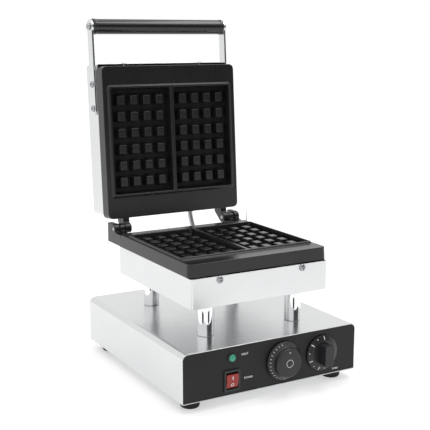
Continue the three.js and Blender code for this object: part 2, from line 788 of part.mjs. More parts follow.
function buildBase() {
  addPiece(maker, "base_housing", baseHousing(), steel);
  addPiece(maker, "bottom_cover", bottomCover(), darkSteel);
  addPiece(maker, "front_panel", frontPanel(), blackPanel);
  for (const [end, sy] of ends) {
    for (const [side, sx] of sides) {
      const x = sx * (BASE.width / 2 - FOOT.inset);
      const y = sy * (halfDepth - FOOT.inset);
      addPiece(maker, `foot_${end}_${side}`, foot(x, y), rubber);
    }
  }
  addPiece(maker, "thermostat_body", shaftBody(thermostat, 44, 34, 24), aluminium);
  addPiece(maker, "timer_body", shaftBody(timer, 48, 48, 34), darkSteel);
  addPiece(maker, "switch_body", switchBody(), blackPlastic);
  addPiece(maker, "lamp_body", lampBody(), blackPlastic);
  addPiece(maker, "lamp_lens", lampLens(), greenLens);
  addPiece(maker, "thermostat_knob", thermostatKnob(), blackPlastic);
  addPiece(maker, "timer_knob", timerKnob(), blackPlastic);
  addPiece(maker, "power_rocker", powerRocker(), redPlastic);
  addPiece(maker, "terminal_block", terminalBlock(), ceramic);
  addPiece(maker, "cable_gland", cableGland(), blackPlastic);
}

function buildColumns() {
  for (const [name, x, y] of columnPlaces) {
    addPiece(maker, `column_${name}`, column(x, y), chrome);
    if (name.startsWith("front")) addPiece(maker, `column_bolt_${name}`, columnBolt(x, y), darkSteel);
    else addPiece(maker, `column_nut_${name}`, columnNut(x, y), darkSteel);
  }
  const [, leftX, rearY] = columnPlaces[2];
  const [, rightX] = columnPlaces[3];
  // The loom rises from the terminal block through the rear left column to the lower heater.
  const loomRoute = [
    [terminal.x, terminal.y + 2, flangeFloor + 22],
    [terminal.x + 2, terminal.y + 4, flangeFloor + 34],
    [leftX, rearY, baseTop - 14],
    [leftX, rearY, baseTop + 20],
    [leftX, rearY, casingBottom + 6],
    [leftX + 2, rearY, casingBottom + 18],
  ];
  addPiece(maker, "wiring_loom", tubeThrough(loomRoute, 3, 28), ceramic);
  // The capillary rises from the thermostat through the rear right column to the plate's underside.
  const probeLevel = plateBottom - 3;
  const capillaryRoute = [
    [thermostat.x + 10, panelFront + 32, thermostat.z],
    [thermostat.x + 16, panelFront + 60, thermostat.z + 4],
    [rightX - 10, rearY - 60, thermostat.z + 6],
    [rightX, rearY, baseTop - 16],
    [rightX, rearY, baseTop + 20],
    [rightX, rearY, casingBottom + 6],
    [rightX + 18, rearY - 4, casingBottom + 17],
    [casingHalf - 6, rearY - 16, casingBottom + 24],
    [casingHalf - 6, rearY - 34, probeLevel - 6],
    [casingHalf - 6, rearY - 64, probeLevel],
    [casingHalf - 6, rearY - 124, probeLevel],
  ];
  addPiece(maker, "thermostat_capillary", tubeThrough(capillaryRoute, 1.4, 44, 6), brass);
}

// The lower casing's floor has the column holes, and its rear wall has the conduit's hole.
const conduitLevel = plateBottom - 26;

function lowerCasing() {
  const open = geometryOf(casingShell(casingHalf, casingFront, casingBack));
  const shell = solid(open.translate(0, 0, plateBottom));
  const columnHoles = columnPlaces.map(([name, x, y]) =>
    solid(rod(x, y, columnHoleRadius(name), casingBottom - 3, casingBottom + 4, 12)),
  );
  const holeRadius = conduit.radius + 0.6;
  const conduitHole = solid(
    rodAlongY(conduit.x, conduitLevel, holeRadius, casingBack - 4, casingBack + 3, 12),
  );
  return cutBy(shell, [...columnHoles, conduitHole]);
}

function buildLowerHalf() {
  addPiece(maker, "lower_casing", lowerCasing(), steel);
  addPiece(maker, "lower_plate", lowerPlate(), nonStick);
  addPiece(maker, "lower_heater", heater(casingFront, casingBack).translate(0, 0, plateBottom), darkSteel);
  const shield = geometryOf(heatShield(casingFront, casingBack)).translate(0, 0, plateBottom);
  addPiece(maker, "lower_heat_shield", shield, aluminium);
  for (const [side, sx] of sides) {
    const place = [sx * screwX, casingFront - GAP, plateBottom - screwDrop];
    addPiece(maker, `casing_screw_${side}`, panScrew().translate(...place), chrome);
    addPiece(maker, `hinge_pin_${side}`, hingePin(sx), darkSteel);
  }
}

const lid = new THREE.Group();
const lidCasingFront = casingFront - hingeY;
const lidCasingBack = -LID.casingInset;

// A shape made open side up for a plate's underside, turned over onto the upper plate.
const overUpperPlate = (shape) => {
  const geometry = shape.isBufferGeometry ? shape : geometryOf(shape);
  return geometry.rotateY(Math.PI).translate(0, 0, upperPlateTop);
};

const conduitLidZ = upperPlateTop + 24;

function upperCasing() {
  const shell = solid(overUpperPlate(casingShell(lidCasingHalf, lidCasingFront, lidCasingBack)));
  const armHoles = armScrewYs.map((y) =>
    solid(rodAlongX(y, HANDLE.depth, screw.hole, -lidCasingHalf - 3, lidCasingHalf + 3, 10)),
  );
  const conduitHole = solid(
    rodAlongY(conduit.x, conduitLidZ, conduit.radius + 0.6, lidCasingBack - 4, lidCasingBack + 3, 12),
  );
  return cutBy(shell, [...armHoles, conduitHole]);
}

// A threaded collar round the conduit, with a flange against the outside of a casing's wall at y = 0.
function conduitNut() {
  const inner = conduit.radius + 0.8;
  return joined([
    solid(rodAlongY(0, 0, conduit.collar, GAP, 6, 6)),
    solid(rodAlongY(0, 0, conduit.collar - 1, 5, 11, 12)),
  ]).subtract(solid(rodAlongY(0, 0, inner, -1, 12, 12)));
}

function buildLid() {
  addPiece(lid, "upper_plate", upperPlate(), nonStick);
  addPiece(lid, "upper_casing", upperCasing(), steel);
  addPiece(lid, "upper_heater", overUpperPlate(heater(lidCasingFront, lidCasingBack)), darkSteel);
  addPiece(lid, "upper_heat_shield", overUpperPlate(heatShield(lidCasingFront, lidCasingBack)), aluminium);
  addPiece(lid, "handle_grip", handleGrip(), blackPlastic);
  addPiece(lid, "handle_rod", handleRod(), darkSteel);
  for (const [side, sx] of sides) {
    addPiece(lid, `handle_arm_${side}`, handleArm(sx), steel);
    addPiece(lid, `handle_nut_${side}`, handleNut(sx), chrome);
    addPiece(lid, `arm_screw_${side}_upper`, armScrew(sx, armScrewYs[0]), chrome);
    addPiece(lid, `arm_screw_${side}_lower`, armScrew(sx, armScrewYs[1]), chrome);
    const place = [sx * screwX, lidCasingFront - GAP, upperPlateTop + screwDrop];
    addPiece(lid, `lid_screw_${side}`, panScrew().translate(...place), chrome);
  }
  const nut = geometryOf(conduitNut()).translate(conduit.x, lidCasingBack, conduitLidZ);
  addPiece(lid, "conduit_nut_upper", nut, chrome);
  lid.position.set(0, hingeY, hingeZ);
  lid.rotation.x = -THREE.MathUtils.degToRad(LID.openAngle);
  maker.add(lid);
}

// The flexible conduit from the lower casing's rear wall up to the open lid's rear wall.
function buildConduit() {
  const nut = geometryOf(conduitNut()).translate(conduit.x, casingBack, conduitLevel);
  addPiece(maker, "conduit_nut_lower", nut, chrome);
  lid.updateMatrixWorld(true);
  const lidPoint = (y, z) => lid.localToWorld(new THREE.Vector3(conduit.x, y, z)).toArray();
  const route = [
    [conduit.x, casingBack - 8, conduitLevel],
    [conduit.x, casingBack + 3, conduitLevel],
    [conduit.x, casingBack + 14, conduitLevel],
    [conduit.x, casingBack + 38, conduitLevel + 5],
    lidPoint(lidCasingBack + 30, conduitLidZ),
    lidPoint(lidCasingBack + 14, conduitLidZ),
    lidPoint(lidCasingBack + 3, conduitLidZ),
    lidPoint(lidCasingBack - 8, conduitLidZ),
  ];
  addPiece(maker, "conduit", tubeThrough(route, conduit.radius, 26, 10), darkSteel);
}

buildBase();
buildColumns();
buildLowerHalf();
buildLid();
buildConduit();

// The origin is the bottom centre of the whole maker, lid open.
maker.updateMatrixWorld(true);
const bounds = new THREE.Box3().setFromObject(maker, true);
maker.position.set(0, -(bounds.min.y + bounds.max.y) / 2, -bounds.min.z);

export default maker;
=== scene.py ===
"""A waffle maker with its lid open: the visible pieces, their finishes, the light and the camera.

Metres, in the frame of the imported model: +X is to the user's right, -Y is the front and +Z is up.
"""

import json
from math import cos, pi, radians, sin

import bmesh
import bpy
from mathutils import Matrix, Vector


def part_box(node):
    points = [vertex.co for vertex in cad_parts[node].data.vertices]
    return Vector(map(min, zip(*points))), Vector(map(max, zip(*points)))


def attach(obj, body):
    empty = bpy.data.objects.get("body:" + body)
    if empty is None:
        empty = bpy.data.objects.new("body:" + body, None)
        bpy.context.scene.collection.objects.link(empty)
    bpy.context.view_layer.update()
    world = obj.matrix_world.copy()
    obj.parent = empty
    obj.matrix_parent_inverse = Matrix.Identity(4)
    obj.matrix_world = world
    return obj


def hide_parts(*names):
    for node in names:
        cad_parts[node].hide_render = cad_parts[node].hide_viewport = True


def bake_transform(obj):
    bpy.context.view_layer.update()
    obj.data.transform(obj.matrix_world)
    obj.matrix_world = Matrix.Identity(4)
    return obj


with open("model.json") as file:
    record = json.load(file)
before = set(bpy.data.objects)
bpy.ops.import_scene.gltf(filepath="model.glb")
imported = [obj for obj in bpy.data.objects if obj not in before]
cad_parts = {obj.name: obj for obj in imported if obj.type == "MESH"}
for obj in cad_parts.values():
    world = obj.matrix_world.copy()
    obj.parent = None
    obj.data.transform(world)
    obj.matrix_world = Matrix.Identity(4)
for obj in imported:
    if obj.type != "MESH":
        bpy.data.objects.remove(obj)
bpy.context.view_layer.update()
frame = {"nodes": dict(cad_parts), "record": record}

MM = 0.001
RIGHT = Vector((1, 0, 0))
FRONT = Vector((0, -1, 0))
UP = Vector((0, 0, 1))

SLOT_OF = {part["node"]: part["material_slot"] for part in frame["record"]["subparts"]}
BODIES = frame["record"]["behaviour"]["bodies"]
BODY_OF = {node: body for body, nodes in BODIES.items() for node in nodes}
JOINTS = {joint["name"]: joint for joint in frame["record"]["behaviour"]["joints"]}

OPEN_DEGREES = 94  # from the closed lid to the open one, which is the rest position
SAME_PLACE = 1e-7  # points closer together than this are one point


# ---- finishes ----

# Most values of a noise lie between these two.
NOISE_LOW = 0.3
NOISE_HIGH = 0.7
CLOUD_DETAIL = 5.0
GRAIN_DETAIL = 3.0
COAT_ROUGHNESS = 0.08

# What a look has where it doesn't say otherwise. Depth is in millimetres.
PLAIN_LOOK = {
    "cloud": 25, "stretch": (1, 1, 1), "tone": 0.06, "spread": 0.04, "lift": 0.1, "depth": 0.05,
    "metallic": 0, "specular": 0.5, "coat": 0,
}


def blank_material(name):
    """A new material, its node tree and its Principled BSDF."""
    material = bpy.data.materials.new(name)
    material.use_nodes = True
    tree = material.node_tree
    return material, tree, tree.nodes["Principled BSDF"]


def grain_noise(tree, stretch, scale, detail):
    """A noise in the piece's own metres, stretched along an axis for a brushed grain."""
    place = tree.nodes.new("ShaderNodeTexCoord")
    mapping = tree.nodes.new("ShaderNodeMapping")
    mapping.inputs["Scale"].default_value = stretch
    noise = tree.nodes.new("ShaderNodeTexNoise")
    noise.inputs["Scale"].default_value = scale
    noise.inputs["Detail"].default_value = detail
    tree.links.new(place.outputs["Object"], mapping.inputs["Vector"])
    tree.links.new(mapping.outputs["Vector"], noise.inputs["Vector"])
    return noise.outputs["Fac"]


def ranged(tree, value, low, high):
    """A noise value spread between two numbers."""
    spread = tree.nodes.new("ShaderNodeMapRange")
    spread.inputs["From Min"].default_value = NOISE_LOW
    spread.inputs["From Max"].default_value = NOISE_HIGH
    spread.inputs["To Min"].default_value = low
    spread.inputs["To Max"].default_value = high
    tree.links.new(value, spread.inputs["Value"])
    return spread.outputs["Result"]


def shade_between(tree, value, colour, tone):
    """The colour, made darker and lighter by the tone, following a noise value."""
    mix = tree.nodes.new("ShaderNodeMix")
    mix.data_type = "RGBA"
    mix.inputs["A"].default_value = (*(c * (1 - tone) for c in colour), 1)
    mix.inputs["B"].default_value = (*(min(c * (1 + tone), 1) for c in colour), 1)
    tree.links.new(ranged(tree, value, 0, 1), mix.inputs["Factor"])
    return mix.outputs["Result"]


def finish_material(name, look):
    """A surface with cloudy tone and gloss, and a fine grain that lifts it."""
    look = PLAIN_LOOK | look
    material, tree, shader = blank_material(name)
    cloud = grain_noise(tree, (1, 1, 1), look["cloud"], CLOUD_DETAIL)
    grain = grain_noise(tree, look["stretch"], look["grain"], GRAIN_DETAIL)
    colour = shade_between(tree, cloud, look["colour"], look["tone"])
    tree.links.new(colour, shader.inputs["Base Color"])
    middle, spread = look["roughness"], look["spread"]
    tree.links.new(ranged(tree, grain, middle - spread, middle + spread), shader.inputs["Roughness"])
    bump = tree.nodes.new("ShaderNodeBump")
    bump.inputs["Strength"].default_value = look["lift"]
    bump.inputs["Distance"].default_value = look["depth"] * MM
    tree.links.new(grain, bump.inputs["Height"])
    tree.links.new(bump.outputs["Normal"], shader.inputs["Normal"])
    shader.inputs["Metallic"].default_value = look["metallic"]
    shader.inputs["Specular IOR Level"].default_value = look["specular"]
    shader.inputs["Coat Weight"].default_value = look["coat"]
    shader.inputs["Coat Roughness"].default_value = COAT_ROUGHNESS
    return material


LOOKS = {
    "housing_steel": {
        "colour": (0.70, 0.705, 0.71), "metallic": 1, "roughness": 0.24, "spread": 0.02,
        "grain": 2600, "stretch": (0.05, 1, 1), "lift": 0.03, "tone": 0.015,
    },
    "inner_steel": {"colour": (0.55, 0.56, 0.58), "metallic": 1, "roughness": 0.36, "grain": 700},
    "panel_black": {
        "colour": (0.013, 0.013, 0.014), "roughness": 0.42, "grain": 1600, "lift": 0.1, "specular": 0.24,
    },
    "foot_rubber": {
        "colour": (0.012, 0.012, 0.013), "roughness": 0.75, "grain": 1200, "lift": 0.4, "specular": 0.3,
    },
    "column_chrome": {
        "colour": (0.85, 0.86, 0.87), "metallic": 1, "roughness": 0.07, "spread": 0.02, "grain": 500,
        "lift": 0.03,
    },
    "fastener_chrome": {
        "colour": (0.38, 0.385, 0.40), "metallic": 1, "roughness": 0.2, "grain": 900, "lift": 0.08,
    },
    "plate_cast": {
        "colour": (0.011, 0.011, 0.0115), "roughness": 0.25, "spread": 0.05, "grain": 1500,
        "lift": 0.12, "depth": 0.03, "tone": 0.12, "specular": 0.42,
    },
    "shield_aluminium": {
        "colour": (0.62, 0.63, 0.65), "metallic": 1, "roughness": 0.4, "grain": 600,
        "stretch": (1, 0.05, 1),
    },
    "black_plastic": {
        "colour": (0.016, 0.016, 0.018), "roughness": 0.34, "grain": 1800, "lift": 0.15, "specular": 0.4,
    },
    "grip_black": {
        "colour": (0.012, 0.012, 0.013), "roughness": 0.12, "spread": 0.02, "grain": 600, "lift": 0.03,
    },
    "rocker_red": {
        "colour": (0.25, 0.018, 0.012), "roughness": 0.28, "spread": 0.03, "grain": 700, "lift": 0.04,
    },
    "lens_green": {
        "colour": (0.016, 0.26, 0.15), "roughness": 0.16, "spread": 0.03, "grain": 500, "lift": 0.04,
        "coat": 0.5,
    },
    "ceramic_white": {"colour": (0.80, 0.77, 0.70), "roughness": 0.6, "grain": 900, "lift": 0.2},
    "capillary_brass": {"colour": (0.62, 0.45, 0.20), "metallic": 1, "roughness": 0.32, "grain": 800},
}
# Painted shade: a darker, less glossy copy of the plate finish that stands in for the shade on the cavity
# floors.
PAINTED_SHADE_LOOK = {
    "colour": (0.007, 0.007, 0.007), "roughness": 0.4, "spread": 0.05, "grain": 1500,
    "lift": 0.12, "depth": 0.03, "tone": 0.15, "specular": 0.2,
}
PRINT_LOOK = {"colour": (0.72, 0.72, 0.71), "roughness": 0.5, "grain": 2500, "lift": 0.1, "tone": 0.08}

MATERIALS = {name: finish_material(name, look) for name, look in LOOKS.items()}
PRINT = finish_material("white_print", PRINT_LOOK)
PAINTED_SHADE = finish_material("plate_cast_painted_shade", PAINTED_SHADE_LOOK)


# ---- shapes ----

LEG_SHARE = 0.45  # how much of a straight stretch a softened corner may take up
BEVEL_SEGMENTS = 3
WELD_DISTANCE = 2e-6
FLAT_WITHIN = radians(0.6)  # faces that differ by less than this count as one plane


def softened(points, reach, steps=4):
    """The open line through the points, with each inner corner turned into a small curve."""
    line = [Vector(p) for p in points]
    result = [line[0]]
    for before, corner, after in zip(line, line[1:], line[2:]):
        back = before - corner
        ahead = after - corner
        start = corner + back.normalized() * min(reach, back.length * LEG_SHARE)
        end = corner + ahead.normalized() * min(reach, ahead.length * LEG_SHARE)
        for i in range(steps + 1):
            t = i / steps
            result.append(start * (1 - t) ** 2 + corner * (2 * t * (1 - t)) + end * t * t)
    return result + [line[-1]]


def rounded_rectangle(half_x, half_y, radius, steps=6):
    """Counter-clockwise corner points of a rounded rectangle about the origin."""
    points = []
    for sign_x, sign_y, start in ((1, -1, -90), (1, 1, 0), (-1, 1, 90), (-1, -1, 180)):
        for i in range(steps + 1):
            angle = radians(start + 90 * i / steps)
            points.append(
                (
                    sign_x * (half_x - radius) + radius * cos(angle),
                    sign_y * (half_y - radius) + radius * sin(angle),
                )
            )
    return points


def axes_along(axis):
    """A rotation that turns +Z to the axis."""
    return Vector(axis).to_track_quat("Z", "Y").to_matrix()


def turned_shape(profile, origin, axis, segments=72):
    """A turned solid. The profile is (radius, height) pairs that start and end on the axis, or meet."""
    bm = bmesh.new()
    turn = axes_along(axis)
    rings = []
    for radius, height in profile:
        count = segments if radius > SAME_PLACE else 1
        angles = [2 * pi * i / count for i in range(count)]
        spots = [Vector((radius * cos(a), radius * sin(a), height)) for a in angles]
        rings.append([bm.verts.new(Vector(origin) + turn @ spot) for spot in spots])
    for lower, upper in zip(rings, rings[1:]):
        if len(lower) == 1 and len(upper) == 1:
            continue
        for i in range(segments):
            j = (i + 1) % segments
            corners = [lower[i % len(lower)], lower[j % len(lower)]]
            corners += [upper[j % len(upper)], upper[i % len(upper)]]
            bm.faces.new(list(dict.fromkeys(corners)))
    bmesh.ops.remove_doubles(bm, verts=bm.verts, dist=SAME_PLACE)
    bmesh.ops.recalc_face_normals(bm, faces=bm.faces)
    return bm


def slab_shape(outline, thickness, placing):
    """A flat slab: an outline in its own XY plane, given a thickness along +Z, and placed by a matrix."""
    bm = bmesh.new()
    base = bm.faces.new([bm.verts.new((x, y, 0)) for x, y in outline])
    lifted = bmesh.ops.extrude_face_region(bm, geom=[base])
    moved = [item for item in lifted["geom"] if isinstance(item, bmesh.types.BMVert)]
    bmesh.ops.translate(bm, vec=(0, 0, thickness), verts=moved)
    bmesh.ops.recalc_face_normals(bm, faces=bm.faces)
    bm.transform(placing)
    return bm


def placing_of(origin, right, up, out):
    """The matrix that puts a shape's X, Y and Z along three directions at a point."""
    turn = Matrix((right, up, out)).transposed().to_4x4()
    return Matrix.Translation(origin) @ turn


def rounded_edges(obj, width, angle=32):
    """Rounds the sharp edges and keeps the flats flat."""
    bevel = obj.modifiers.new("edge_rounding", "BEVEL")
    bevel.width = width
    bevel.segments = BEVEL_SEGMENTS
    bevel.limit_method = "ANGLE"
    bevel.angle_limit = radians(angle)
    bevel.use_clamp_overlap = False
    obj.modifiers.new("flat_faces", "WEIGHTED_NORMAL")


def shown(bm, name, material, smooth=35):
    """A mesh object from a shape, smooth except at its sharp edges."""
    mesh = bpy.data.meshes.new(name)
    bm.to_mesh(mesh)
    bm.free()
    mesh.shade_smooth()
    if smooth:
        mesh.set_sharp_from_angle(angle=radians(smooth))
    mesh.materials.append(material)
    obj = bpy.data.objects.new(name, mesh)
    bpy.context.scene.collection.objects.link(obj)
    return obj


def standing_for(bm, node, smooth=35):
    """A piece that replaces a CAD node, with its finish, and moves with its body."""
    slot = SLOT_OF[node]
    obj = shown(bm, f"{node}_skin", MATERIALS[slot], smooth)
    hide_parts(node)
    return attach(obj, BODY_OF[node])


def refined(node, width):
    """The CAD node's shape, its coplanar faces merged and its edges rounded."""
    source = frame["nodes"][node]
    bm = bmesh.new()
    bm.from_mesh(source.data)
    bm.transform(source.matrix_world)
    bmesh.ops.remove_doubles(bm, verts=bm.verts, dist=WELD_DISTANCE)
    bmesh.ops.dissolve_limit(bm, angle_limit=FLAT_WITHIN, verts=bm.verts, edges=bm.edges)
    obj = standing_for(bm, node, smooth=None)
    rounded_edges(obj, width)
    return obj


CAVITY_REACH = 107.3 * MM  # from the plate's middle to a cavity's outer wall
CAVITY_NEAR = 53.4 * MM  # from the hinge axis to the cavities' back wall
CAVITY_FAR = 221.6 * MM  # and to their front wall
FLOOR_NEAREST = 12 * MM  # the cavity floors are between these two distances from the axis' level
FLOOR_FURTHEST = 18 * MM


def paint_shade_in_cavities(plate, in_plate):
    """Gives the floors of the cavities a darker, less glossy copy of the plate finish, as painted shade in
    the recesses.

    in_plate turns a point into the closed lid's frame, with its origin on the hinge axis.
    """
    # The cavity floors get the painted shade material.
    plate.data.materials.append(PAINTED_SHADE)
    to_row = plate.matrix_world
    for face in plate.data.polygons:
        place = in_plate(to_row @ face.center)
        inside = abs(place.x) < CAVITY_REACH and CAVITY_NEAR < -place.y < CAVITY_FAR
        if inside and FLOOR_NEAREST < abs(place.z) < FLOOR_FURTHEST:
            face.material_index = 1


def middle_of(node):
    """The middle of a CAD node's box."""
    low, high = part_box(node)
    return (low + high) / 2


# ---- the sheet steel, the castings and the panel ----


# How far the edges of these pieces are rounded, in millimetres.
EDGE_ROUNDING = {
    "base_housing": 0.35,
    "front_panel": 0.3,
    "lower_casing": 0.4,
    "upper_casing": 0.4,
    "lower_plate": 0.9,
    "upper_plate": 0.9,
    "switch_body": 0.35,
    "power_rocker": 0.5,
    "handle_arm_left": 0.5,
    "handle_arm_right": 0.5,
}


def build_sheet_and_castings():
    hinge = Vector(JOINTS["lid_hinge"]["pos_m"])
    lid_turn = Matrix.Rotation(radians(OPEN_DEGREES), 3, "X")
    closed_frames = {
        "lower_plate": lambda point: point - hinge,
        "upper_plate": lambda point: lid_turn @ (point - hinge),
    }
    for node, width in EDGE_ROUNDING.items():
        piece = refined(node, width * MM)
        if node in closed_frames:
            paint_shade_in_cavities(piece, closed_frames[node])


def build_feet():
    for end in ("front", "rear"):
        for side in ("left", "right"):
            node = f"foot_{end}_{side}"
            low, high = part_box(node)
            rim = (high.x - low.x) / 2
            top = high.z - low.z
            sole = [(0, 0), (rim - 2.5 * MM, 0), (rim - 1 * MM, 1.5 * MM)]
            side_wall = [(rim, top - 2 * MM), (rim, top), (0, top)]
            profile = softened(sole + side_wall, 0.8 * MM)
            centre = middle_of(node)
            standing_for(turned_shape(profile, (centre.x, centre.y, low.z), UP), node)


def build_columns():
    wall = 1.5 * MM
    for place in ("front_left", "front_right", "rear_left", "rear_right"):
        node = f"column_{place}"
        low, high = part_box(node)
        centre = middle_of(node)
        radius = (high.x - low.x) / 2
        height = high.z - low.z
        inner = radius - wall
        section = [(inner, 0), (radius, 0), (radius, height), (inner, height), (inner, 0)]
        profile = softened(section, 0.4 * MM)
        standing_for(turned_shape(profile, (centre.x, centre.y, low.z), UP, segments=96), node)


# ---- the controls on the panel ----

PANEL_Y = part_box("front_panel")[0].y
THERMOSTAT = Vector(JOINTS["thermostat_turn"]["pos_m"])
TIMER = Vector(JOINTS["timer_turn"]["pos_m"])
SHAFT_BORE = 3.2 * MM
BORE_DEPTH = 13 * MM
KNOB_SOFTNESS = 0.6 * MM
PRINT_GAP = 0.02  # how far the marks on sloping faces stand off them, in millimetres
PRINT_THICKNESS = 0.12
MARK_ROUNDING = 0.45  # a mark's corner radius, as a share of its shorter side
ROCKER_DEGREES = 8  # the rocker's tilt at rest, off


def in_metres(profile):
    return [(radius * MM, height * MM) for radius, height in profile]


def knob_shape(outer, origin):
    """A turned knob with its blind shaft bore, its heights measured out from the panel."""
    start = outer[0][1]
    bore = [(0, BORE_DEPTH), (SHAFT_BORE, BORE_DEPTH), (SHAFT_BORE, start)]
    profile = bore + softened([(SHAFT_BORE, start)] + outer[1:], KNOB_SOFTNESS)
    return turned_shape(profile, origin, FRONT, segments=96)


def printed_ring(inner, outer, height, thickness=PRINT_THICKNESS):
    """The profile of a flat ring, or of a dot where the inner radius is 0, from millimetres."""
    top = height + thickness
    return in_metres([(inner, height), (outer, height), (outer, top), (inner, top), (inner, height)])


def skirt_mark(name, centre, angle, lower, upper, share, length, width, body):
    """A printed mark on a knob's sloping skirt, part of the way from its lower to its upper ring."""
    around = radians(angle)
    outward = Vector((cos(around), 0, sin(around)))
    along = (outward * (upper[0] - lower[0]) + FRONT * (upper[1] - lower[1])).normalized()
    across = Vector((-sin(around), 0, cos(around)))
    face = across.cross(along)
    face = face if face.dot(outward) > 0 else -face
    radius = lower[0] + (upper[0] - lower[0]) * share
    height = lower[1] + (upper[1] - lower[1]) * share
    origin = centre + (outward * radius + FRONT * height + face * PRINT_GAP) * MM
    outline = rounded_rectangle(width / 2 * MM, length / 2 * MM, min(width, length) * MARK_ROUNDING * MM, 3)
    bm = slab_shape(outline, PRINT_THICKNESS * MM, placing_of(origin, across, along, face))
    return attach(shown(bm, name, PRINT), body)


def build_thermostat():
    skirt_low, skirt_high = (28.4, 3.6), (23.6, 8)
    face = 17.5
    skirt = [(0, 1.2), (27.4, 1.2), (28.4, 2.2), skirt_low, skirt_high]
    crown = [(21.8, 10), (21.2, 15.5), (19.4, face), (0, face)]
    outer = in_metres(skirt + crown)
    standing_for(knob_shape(outer, THERMOSTAT), "thermostat_knob")
    ticks, first_tick, tick_step, off_angle = 13, 104, 12, 266
    tick = {"share": 0.6, "length": 2.4, "width": 0.6, "body": "thermostat"}
    off_dot = {"share": 0.5, "length": 1.6, "width": 1.6, "body": "thermostat"}
    for i in range(ticks):
        angle = first_tick + tick_step * i
        skirt_mark(f"thermostat_tick_{i}", THERMOSTAT, angle, skirt_low, skirt_high, **tick)
    skirt_mark("thermostat_off_dot", THERMOSTAT, off_angle, skirt_low, skirt_high, **off_dot)
    ring = turned_shape(printed_ring(5.2, 5.7, face), THERMOSTAT, FRONT, segments=48)
    emblem = shown(ring, "thermostat_ring", PRINT)
    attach(emblem, "thermostat")
    pointer = printed_ring(0, 0.8, face)
    pointer_reach = 16
    dot_at = THERMOSTAT + UP * pointer_reach * MM
    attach(shown(turned_shape(pointer, dot_at, FRONT, 24), "thermostat_pointer", PRINT), "thermostat")


def build_timer():
    """The timer knob, a low skirt with a bar across it, as one mesh of two closed shells."""
    skirt_low, skirt_high = (26.5, 3.2), (19.5, 6.5)
    outer = [(0, 1.2), (25.5, 1.2), (26.5, 2.2), skirt_low, skirt_high, (10, 6.5), (0, 6.5)]
    low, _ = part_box("timer_knob")
    bar_front = TIMER.y - low.y
    bm = turned_shape(softened(in_metres(outer), KNOB_SOFTNESS), TIMER, FRONT, segments=96)
    bar_foot = 6.3 * MM
    bar_outline = rounded_rectangle(half_x=7.5 * MM, half_y=15.5 * MM, radius=3 * MM)
    placing = placing_of(TIMER + FRONT * bar_foot, RIGHT, UP, FRONT)
    bar = slab_shape(bar_outline, bar_front - bar_foot, placing)
    carrier = bpy.data.meshes.new("timer_bar_part")
    bar.to_mesh(carrier)
    bar.free()
    bm.from_mesh(carrier)
    bpy.data.meshes.remove(carrier)
    knob = standing_for(bm, "timer_knob", smooth=None)
    rounded_edges(knob, 0.8 * MM, angle=40)
    tick = {"share": 0.5, "length": 5.6, "width": 1.1, "body": "timer"}
    dot = {"share": 0.4, "length": 1.5, "width": 1.5, "body": "timer"}
    for i, angle in enumerate((86, 142, 204, 252)):
        skirt_mark(f"timer_tick_{i}", TIMER, angle, skirt_low, skirt_high, **tick)
    for i, angle in enumerate((114, 173, 228, 278)):
        skirt_mark(f"timer_dot_{i}", TIMER, angle, skirt_low, skirt_high, **dot)


def build_rocker_marks():
    """The I and the O on the rocker's two faces."""
    pivot = Vector(JOINTS["power_rock"]["pos_m"])
    tilt = Matrix.Rotation(radians(ROCKER_DEGREES), 4, "X")
    crown_out, edge_out, edge_up = 6.8 * MM, 5.2 * MM, 10.2 * MM
    thickness = 0.1
    for name, sign in (("rocker_on_mark", 1), ("rocker_off_mark", -1)):
        crown = tilt @ Vector((0, -crown_out, 0))
        edge = tilt @ Vector((0, -edge_out, sign * edge_up))
        along = (edge - crown).normalized() * sign
        face = RIGHT.cross(along)
        face = face if face.y < 0 else -face
        centre = pivot + (crown + edge) / 2 + face * PRINT_GAP * MM
        if sign > 0:
            outline = rounded_rectangle(half_x=0.6 * MM, half_y=2.4 * MM, radius=0.2 * MM, steps=2)
            bm = slab_shape(outline, thickness * MM, placing_of(centre, RIGHT, along, face))
        else:
            bm = turned_shape(printed_ring(1.7, 2.5, 0, thickness), centre, face, segments=40)
        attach(shown(bm, name, PRINT), "rocker")


def build_lamp():
    centre = middle_of("lamp_body")
    origin = (centre.x, PANEL_Y, centre.z)
    sleeve = [(4.2, 0.9), (4.2, -20), (4.7, -20), (4.7, 0.2), (7, 0.2), (6.9, 1.4), (6.2, 1.9), (5.3, 1.9)]
    bezel = softened(in_metres(sleeve + [(5.3, 0.9), (4.2, 0.9)]), 0.2 * MM)
    standing_for(turned_shape(bezel, origin, FRONT, segments=64), "lamp_body")
    dome = [(0, -5), (3.9, -5), (3.9, 1.1), (5.1, 1.1), (5.0, 2.4), (4.0, 3.6), (2.2, 4.3), (0, 4.5)]
    lens = softened(in_metres(dome), 0.8 * MM)
    standing_for(turned_shape(lens, origin, FRONT, segments=48), "lamp_lens")


LEGEND_GAP = 0.06 * MM
LEGEND_DEPTH = 0.05 * MM


def legend(name, words, x, z, size):
    """A small printed legend on the panel."""
    curve = bpy.data.curves.new(name, "FONT")
    curve.body = words
    curve.size = size
    curve.align_x = "LEFT"
    curve.align_y = "CENTER"
    curve.extrude = LEGEND_DEPTH
    curve.materials.append(PRINT)
    obj = bpy.data.objects.new(name, curve)
    bpy.context.scene.collection.objects.link(obj)
    obj.matrix_world = placing_of(Vector((x, PANEL_Y - LEGEND_GAP, z)), RIGHT, UP, FRONT)
    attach(obj, "root")


def build_legends():
    lamp = middle_of("lamp_body")
    rocker = middle_of("power_rocker")
    # name, word, what it stands beside, how far right and up of that, and the letters' size
    rows = (
        ("legend_heat", "HEAT", lamp, 15.5, 2, 4.4),
        ("legend_power", "POWER", rocker, 20, 0, 4.0),
        ("legend_timer", "TIMER", TIMER, 20, -29, 4.0),
    )
    for name, word, beside, right, up, size in rows:
        legend(name, word, beside.x + right * MM, beside.z + up * MM, size * MM)


# ---- fasteners, handle and hinge ----


